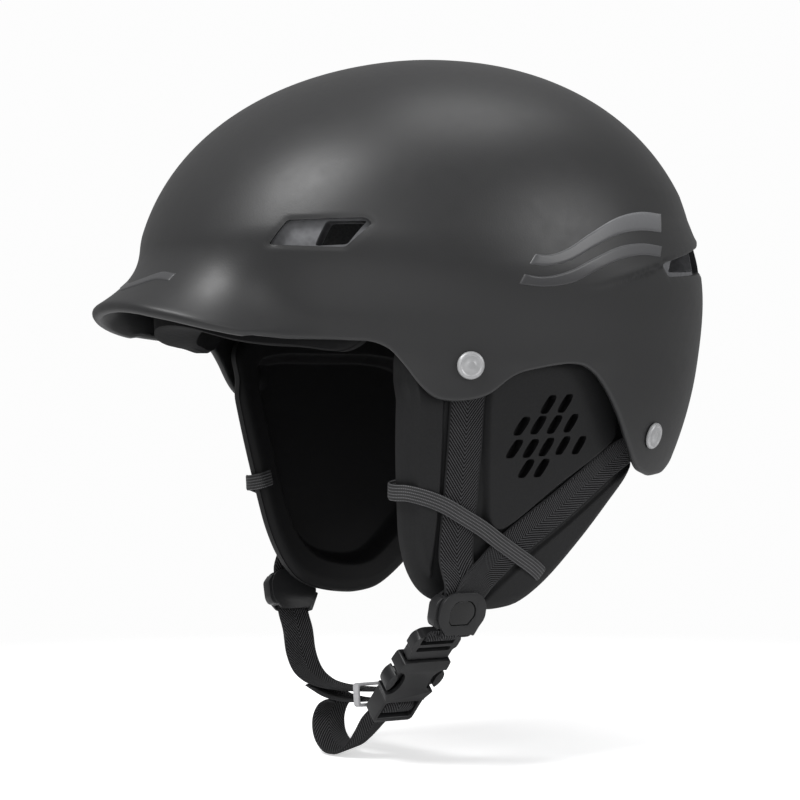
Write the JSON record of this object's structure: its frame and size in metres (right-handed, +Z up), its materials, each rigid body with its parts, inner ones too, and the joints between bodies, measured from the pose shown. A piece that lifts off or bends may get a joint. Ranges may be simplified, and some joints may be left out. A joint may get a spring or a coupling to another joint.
{
  "type": "water helmet",
  "caption": "Brimmed hard-shell water-sports helmet with foam ear pads, riveted webbing straps and a side-release chin buckle.",
  "frame": {"origin": "centre of the wearer's head inside the shell, level with the underside of the brim", "axes": "+X towards the wearer's left ear, -Y towards the brim, +Z up"},
  "size_m": [0.2298, 0.2903, 0.3152],
  "materials": {
    "shell_matte": "fine matte, moulded ABS",
    "badge_grey": "printed satin",
    "foam_grey": "raw closed-cell foam",
    "comfort_fabric": "brushed knit over soft foam",
    "ear_foam": "soft moulded foam, matte",
    "webbing": "woven nylon",
    "elastic": "ribbed elastic",
    "buckle_plastic": "satin acetal",
    "window_gloss": "gloss",
    "rivet_plastic": "satin nylon",
    "keeper_rubber": "light grey rubber"
  },
  "bodies": {
    "helmet": {"outer_shell": "shell_matte", "foam_liner": "foam_grey", "brow_pad": "comfort_fabric", "side_pads": "comfort_fabric", "rear_pad": "comfort_fabric", "crown_pad": "comfort_fabric", "side_badges": "badge_grey", "front_badge": "badge_grey", "strap_rivets": "rivet_plastic", "rivet_washers": "rivet_plastic"},
    "left_flap": {"left_ear_pad": "ear_foam", "left_front_strap": "webbing", "left_rear_strap": "webbing", "left_elastic": "elastic"},
    "right_flap": {"right_ear_pad": "ear_foam", "right_front_strap": "webbing", "right_rear_strap": "webbing", "right_elastic": "elastic"},
    "buckle_male": {"left_divider": "buckle_plastic", "left_divider_window": "window_gloss", "left_short_web": "webbing", "buckle_male_frame": "buckle_plastic"},
    "prong_front": {"buckle_prong_front": "buckle_plastic"},
    "prong_rear": {"buckle_prong_rear": "buckle_plastic"},
    "chin_link": {"right_divider": "buckle_plastic", "right_divider_window": "window_gloss"},
    "chin_strap": {"chin_web": "webbing", "chin_web_return": "webbing", "tail_loop": "webbing", "buckle_female": "buckle_plastic"},
    "keeper": {"strap_keeper": "keeper_rubber"}
  },
  "joints": [
    {"name": "left_flap_sway", "type": "hinge", "parent": "helmet", "child": "left_flap", "pos_m": [0.098, -0.01, -0.04], "axis": [0, 1, 0], "range_deg": [-6, 6], "stiffness_Nm_per_rad": 2, "deforming": ["left_front_strap", "left_rear_strap", "right_front_strap", "right_rear_strap", "left_short_web"]},
    {"name": "right_flap_sway", "type": "hinge", "parent": "helmet", "child": "right_flap", "pos_m": [-0.098, -0.01, -0.04], "axis": [0, 1, 0], "range_deg": [-6, 6], "stiffness_Nm_per_rad": 2, "deforming": ["right_front_strap", "right_rear_strap"]},
    {"name": "left_divider_swivel", "type": "hinge", "parent": "left_flap", "child": "buckle_male", "pos_m": [0.0733, -0.033, -0.1218], "axis": [0, 1, 0], "range_deg": [-8.1, 8.1], "stiffness_Nm_per_rad": 0.5, "deforming": ["left_front_strap", "left_rear_strap"]},
    {"name": "right_divider_swivel", "type": "hinge", "parent": "right_flap", "child": "chin_link", "pos_m": [-0.0733, -0.033, -0.1218], "axis": [0, 1, 0], "range_deg": [-8.1, 8.1], "stiffness_Nm_per_rad": 0.5, "deforming": ["right_front_strap", "right_rear_strap"]},
    {"name": "buckle_release", "type": "slide", "parent": "chin_link", "child": "chin_strap", "axis": [-0.712, 0, -0.7022], "range_m": [0, 0.028], "deforming": ["buckle_prong_front", "buckle_prong_rear", "chin_web"]},
    {"name": "prong_front_squeeze", "type": "hinge", "parent": "buckle_male", "child": "prong_front", "pos_m": [0.04655, -0.0404, -0.15017], "axis": [0.7022, 0, -0.712], "range_deg": [0, 7], "stiffness_Nm_per_rad": 0.3},
    {"name": "prong_rear_squeeze", "type": "hinge", "parent": "buckle_male", "child": "prong_rear", "pos_m": [0.04655, -0.0256, -0.15017], "axis": [0.7022, 0, -0.712], "range_deg": [-7, 0], "stiffness_Nm_per_rad": 0.3},
    {"name": "keeper_slide", "type": "slide", "parent": "chin_strap", "child": "keeper", "axis": [-0.995, 0, -0.0995], "range_m": [0, 0.012]}
  ],
  "couplings": [
    {"joint": "right_flap_sway", "follows": "left_flap_sway", "ratio": 1},
    {"joint": "left_divider_swivel", "follows": "left_flap_sway", "ratio": -1.337},
    {"joint": "right_divider_swivel", "follows": "left_flap_sway", "ratio": -1.337},
    {"joint": "prong_rear_squeeze", "follows": "prong_front_squeeze", "ratio": -1}
  ]
}
